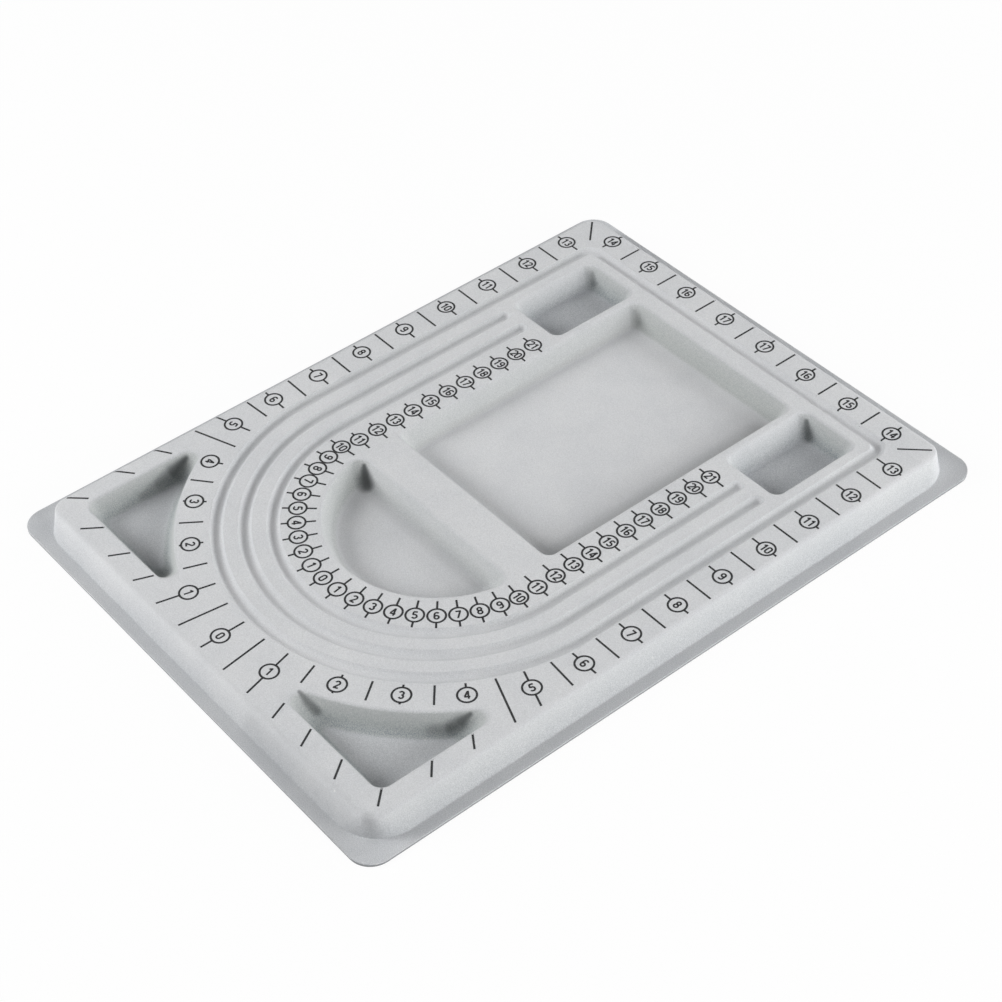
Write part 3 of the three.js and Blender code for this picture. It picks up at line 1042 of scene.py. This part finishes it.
def blend(tree, share, first, second, how="MIX"):
    """Mixes two colours; each may be a colour or the output of another node."""
    node = tree.nodes.new("ShaderNodeMix")
    node.data_type = "RGBA"
    node.blend_type = how
    for socket, value in ((node.inputs[0], share), (node.inputs[6], first), (node.inputs[7], second)):
        if isinstance(value, bpy.types.NodeSocket):
            tree.links.new(value, socket)
        else:
            socket.default_value = value
    return node.outputs[2]


def ranged(tree, value, before, after):
    """Turns one range of a value, from low to high, into another."""
    limits = dict(zip(("From Min", "From Max", "To Min", "To Max"), before + after))
    return add_node(tree, map_range, {"Value": value}, limits).outputs["Result"]


def bumped(tree, height, strength, distance):
    values = {"Strength": strength, "Distance": distance * MM}
    return add_node(tree, "ShaderNodeBump", {"Height": height}, values).outputs["Normal"]


flock, tree, shader = new_finish("flock", roughness=0.95)
print("finish", flock.name, len(tree.nodes), "nodes to start with")

# %% Colour of the flock
full_range = 0.0, 1.0
fuzz = use_grain(tree, fibres=2.2, patches=0.045, specks=0.055)
standing = 0.600, 0.610, 0.625, 1
leaning = 0.645, 0.652, 0.662, 1
lint = 0.74, 0.74, 0.735, 1
fibre_shades = 0.88, 1.12
pile_colour = blend(tree, fuzz.outputs["Patches"], standing, leaning)
fibre_shade = ranged(tree, fuzz.outputs["Grain"], full_range, fibre_shades)
pile_colour = blend(tree, 1.0, pile_colour, fibre_shade, "MULTIPLY")
pile_colour = blend(tree, fuzz.outputs["Specks"], pile_colour, lint)
print("even flock", len(tree.nodes), "nodes")

# %% [markdown]
# The shares that each feature noted now darken the flock, partly as flock drawn thin and partly as painted
# shade in the hollows and on walls by the way they face. Walls turn a little warmer with their share, and
# floors and walls go darker, most of all between the fibres.

# %% Drawn walls and floors, with painted shade
warm_wall = 0.605, 0.615, 0.580, 1
deep_pile_shade = 0.040, 0.080, 0.120, 1
wall_onset = 0.05, 0.3
wall_warmth = 0.0, 0.8
between_fibres = 1.5, 0.5
# Painted shade: the wall share warms and darkens walls, and the drawn share darkens floors and walls.
wall_shade_share = add_node(tree, "ShaderNodeAttribute", attribute_name="wall_shade").outputs["Fac"]
pile_colour = blend(tree, ranged(tree, wall_shade_share, wall_onset, wall_warmth), pile_colour, warm_wall)
drawn_shade_share = add_node(tree, "ShaderNodeAttribute", attribute_name="drawn_shade").outputs["Fac"]
sparse = ranged(tree, fuzz.outputs["Grain"], full_range, between_fibres)
sparse_shade_share = add_node(tree, plain_math, {0: drawn_shade_share, 1: sparse}, operation="MULTIPLY").outputs[0]
pile_colour = blend(tree, sparse_shade_share, pile_colour, deep_pile_shade)
print("drawn flock", len(tree.nodes), "nodes")

# %% [markdown]
# The painted shade in the corners comes last, over the rest. A row below names an outline and its profile,
# how dark each run is, and the stops that the runs join. A stop is the number of an arc, the turn along it,
# the share of the drop, and the reach of the streak there in millimetres.

# %% Choose the corners of painted shade
# Painted shade: streaks down the tight corners of the half-moon, the pockets and the boxes, bands along the
# feet of the half-moon's straight wall and the tray's right wall, and patches on the near skirt.
shaded_corners = (
    (
        moon_outline, pan_profile, (0.80, 0.80),
        ((1, 0.35, 0.28, 1.8), (1, 0.25, 0.80, 6.0), (1, 0.10, 0.95, 6.2)),
    ),
    (moon_outline, pan_profile, (0.17,), ((0, 1.05, 0.97, 7.0), (0, 1.95, 0.97, 7.0))),
    (tray_outline, pan_profile, (0.33,), ((0, 1.05, 0.97, 10.0), (0, 1.95, 0.97, 10.0))),
    (
        mirrored_pocket, pan_profile, (0.75, 0.50, 0.28),
        ((1, 0.25, 0.25, 2.2), (0, 1.93, 0.55, 6.0), (0, 1.73, 0.72, 4.4), (0, 1.50, 0.85, 3.0)),
    ),
    (mirrored_pocket, pan_profile, (0.12,), ((3, 0.20, 0.68, 4.0), (3, 0.25, 0.95, 4.5))),
    (
        pocket_outline, pan_profile, (0.60, 0.60),
        ((3, 0.25, 0.04, 1.4), (3, 0.22, 0.36, 3.2), (3, 0.12, 0.62, 3.6)),
    ),
    (
        pocket_outline, pan_profile, (0.75, 0.65, 0.30),
        ((1, 1.00, 0.20, 1.8), (2, 0.03, 0.46, 4.6), (2, 0.08, 0.66, 4.6), (2, 0.20, 0.72, 4.0)),
    ),
    (
        box_outline, pan_profile, (0.55, 0.55),
        ((2, 0.30, 0.35, 1.8), (2, 0.10, 0.70, 3.8), (1, 1.95, 0.90, 4.4)),
    ),
    (mirrored_box, pan_profile, (0.25,), ((1, 0.75, 0.35, 1.6), (1, 1.00, 0.75, 3.4))),
    (plateau_outline, skirt_profile, (0.16,), ((0, 0.35, 0.05, 4.0), (0, 0.50, 0.75, 6.0))),
    (plateau_outline, skirt_profile, (0.12,), ((3, 1.70, 0.60, 9.0), (3, 2.00, 0.90, 16.0))),
)
print("thin corners", len(shaded_corners))

# %% Lay the painted shade in the corners
# Painted shade: the streaks blend the flock towards this near black.
corner_shade_colour = 0.045, 0.050, 0.052, 1
corner_shade_mask = None
for outline, profile, strengths, stops in shaded_corners:
    points = [on_wall(outline, profile, number, turn, depth) for number, turn, depth, reach in stops]
    reaches = [stop[-1] for stop in stops]
    for most, *ends in zip(strengths, points, points[1:], reaches, reaches[1:]):
        run = dict(zip(("Lip", "Foot", "Lip reach", "Foot reach"), ends), Most=most)
        mask = add_node(tree, "ShaderNodeGroup", None, run, node_tree=shade_streak_group).outputs["Mask"]
        if corner_shade_mask:
            mask = add_node(tree, plain_math, {0: corner_shade_mask, 1: mask}, operation="MAXIMUM").outputs[0]
        corner_shade_mask = mask
pile_colour = blend(tree, corner_shade_mask, pile_colour, corner_shade_colour)
tree.links.new(pile_colour, shader.inputs["Base Color"])
pile_bump = bumped(tree, fuzz.outputs["Grain"], strength=0.35, distance=0.12)
tree.links.new(pile_bump, shader.inputs["Normal"])
shader.inputs["Specular IOR Level"].default_value = 0.1
shader.inputs["Sheen Weight"].default_value = 0.12
shader.inputs["Sheen Roughness"].default_value = 0.6
flock_coat.data.materials.append(flock)
print("flock", len(tree.nodes), "nodes")

# %% [markdown]
# Under the flock is the bare sheet. It is seen only from below and along the trimmed edge. Its face touched
# the mould, so it is satin, with a faint dimple and soft draw marks.

# %% Sheet
plastic, tree, shader = new_finish("satin_sheet", roughness=0.5)
dimple = use_grain(tree, fibres=1.1, patches=0.03, specks=0.08)
pale_sheet = 0.265, 0.272, 0.280, 1
deep_sheet = 0.220, 0.227, 0.236, 1
satin = 0.42, 0.58
sheet_colour = blend(tree, dimple.outputs["Patches"], deep_sheet, pale_sheet)
tree.links.new(sheet_colour, shader.inputs["Base Color"])
sheet_gloss = ranged(tree, dimple.outputs["Patches"], full_range, satin)
tree.links.new(sheet_gloss, shader.inputs["Roughness"])
sheet_bump = bumped(tree, dimple.outputs["Grain"], strength=0.25, distance=0.05)
tree.links.new(sheet_bump, shader.inputs["Normal"])
formed_sheet.data.materials.append(plastic)
print("sheet", len(tree.nodes), "nodes")

# %% [markdown]
# The ink sits on fibre tips. It is nearly black, but the fibres break it up, and here and there it is paler
# where less of it took.

# %% Ink
ink, tree, shader = new_finish("print_ink", roughness=0.8)
broken = use_grain(tree, fibres=2.2, patches=0.09, specks=0.4)
deep_ink = 0.004, 0.004, 0.005, 1
worn_ink = 0.014, 0.014, 0.016, 1
tip_grain = 0.78, 1.0
tip_share = 0.0, 0.16
ink_colour = blend(tree, broken.outputs["Patches"], deep_ink, worn_ink)
fibre_tips = ranged(tree, broken.outputs["Grain"], tip_grain, tip_share)
ink_colour = blend(tree, fibre_tips, ink_colour, standing)
tree.links.new(ink_colour, shader.inputs["Base Color"])
ink_bump = bumped(tree, broken.outputs["Grain"], strength=0.3, distance=0.08)
tree.links.new(ink_bump, shader.inputs["Normal"])
for piece in (inch_scale, centimetre_scale):
    piece.data.materials.append(ink)
print("ink", len(tree.nodes), "nodes")

# %% [markdown]
# ## Floor, light and camera
# The board lies on a white table in soft light. The brightest lamp stands at the near left and brings out
# the near skirt. Two lamps on the right leave a soft shade along the right wall of every tray, and a weaker
# one at the far side catches the near lip of each channel. The camera sees the table as white, and only the
# shadow of the board shows on it.

# %% Floor
floor_half = 6
floor_mesh = bpy.data.meshes.new("floor")
bm = bmesh.new()
bmesh.ops.create_grid(bm, x_segments=1, y_segments=1, size=floor_half)
bm.to_mesh(floor_mesh)
bm.free()
floor = bpy.data.objects.new("floor", floor_mesh)
bpy.context.collection.objects.link(floor)
white = 1, 1, 1, 1
table_colour = 0.85, 0.85, 0.85, 1
glow_most = 0.95


def seen_plainly(tree):
    """One for a ray that shows the backdrop: straight to the camera, mirrored or let through."""
    path = add_node(tree, "ShaderNodeLightPath")
    seen = path.outputs["Is Camera Ray"]
    for label in ("Is Glossy Ray", "Is Transmission Ray"):
        seen = add_node(tree, plain_math, {0: seen, 1: path.outputs[label]}, operation="MAXIMUM").outputs[0]
    return seen


table, tree, shader = new_finish("white_table", roughness=0.9)
shader.inputs["Base Color"].default_value = table_colour
shader.inputs["Specular IOR Level"].default_value = 0.0
glow = add_node(tree, "ShaderNodeEmission", None, {"Color": white, "Strength": 1.0})
glow_share = add_node(tree, plain_math, {0: seen_plainly(tree)}, {1: glow_most}, operation="MULTIPLY")
layers = {0: glow_share.outputs[0], 1: shader.outputs[0], 2: glow.outputs[0]}
mixed = add_node(tree, "ShaderNodeMixShader", layers)
tree.links.new(mixed.outputs[0], tree.nodes["Material Output"].inputs["Surface"])
floor.data.materials.append(table)
print("floor", 2 * floor_half, "m wide")

# %% World
room_level = 0.17
world = bpy.data.worlds.new("studio")
bpy.context.scene.world = world
world.use_nodes = True
sky = world.node_tree
room = sky.nodes["Background"]
room.inputs["Color"].default_value = white
room.inputs["Strength"].default_value = room_level
backdrop = add_node(sky, "ShaderNodeBackground", None, {"Color": white, "Strength": 1.0})
layers = {0: seen_plainly(sky), 1: room.outputs[0], 2: backdrop.outputs[0]}
chosen = add_node(sky, "ShaderNodeMixShader", layers)
sky.links.new(chosen.outputs[0], sky.nodes["World Output"].inputs["Surface"])
print("room light", room_level)

# %% Lamps
lamp_distance = 1.5
lamp_width = 0.7
lamps = (
    ("near_left_lamp", -130, 27, 18.6),
    ("right_lamp", 12, 25, 11.4),
    ("low_right_lamp", 30, 12, 8.0),
    ("far_lamp", 95, 22, 7.6),
)


def add_lamp(name, heading, height, power):
    """A round soft lamp that faces the board. Heading and height are in degrees, and power is in watts."""
    lamp_data = bpy.data.lights.new(name, "AREA")
    lamp_data.shape = "DISK"
    lamp_data.size = lamp_width
    lamp_data.energy = power
    lamp = bpy.data.objects.new(name, lamp_data)
    bpy.context.collection.objects.link(lamp)
    turn, rise = math.radians(heading), math.radians(height)
    towards = Vector((math.cos(rise) * math.cos(turn), math.cos(rise) * math.sin(turn), math.sin(rise)))
    lamp.location = towards * lamp_distance
    lamp.rotation_euler = towards.to_track_quat("Z", "Y").to_euler()


for lamp in lamps:
    add_lamp(*lamp)
print("lamps", len(lamps))

# %% [markdown]
# The camera looks down from the right and the near side, and is tipped by a few degrees. Its place and its
# lens were fitted to the printed rings, whose spacing is known.

# %% Camera
camera_place = Vector((598.5, -448.1, 699.7)) * MM
azimuth = math.radians(53.067)
elevation = math.radians(43.184)
roll = math.radians(3.352)
focal_pixels = 2291.3
frame_pixels = 1002
back = Vector((
    math.sin(azimuth) * math.cos(elevation),
    -math.cos(azimuth) * math.cos(elevation),
    math.sin(elevation),
))
right = (-back).cross(Vector((0, 0, 1))).normalized()
up = back.cross(right)
level_view = Matrix((right, up, back)).transposed()
turned = level_view @ Matrix.Rotation(-roll, 3, "Z")
camera_data = bpy.data.cameras.new("camera")
camera_data.sensor_width = 36
camera_data.lens = focal_pixels / frame_pixels * camera_data.sensor_width
camera = bpy.data.objects.new("camera", camera_data)
bpy.context.collection.objects.link(camera)
camera.matrix_world = Matrix.Translation(camera_place) @ turned.to_4x4()
bpy.context.scene.camera = camera
bpy.context.scene.view_settings.view_transform = "Standard"
print("camera", round(camera_place.length, 2), "m away, lens", round(camera_data.lens, 1), "mm")
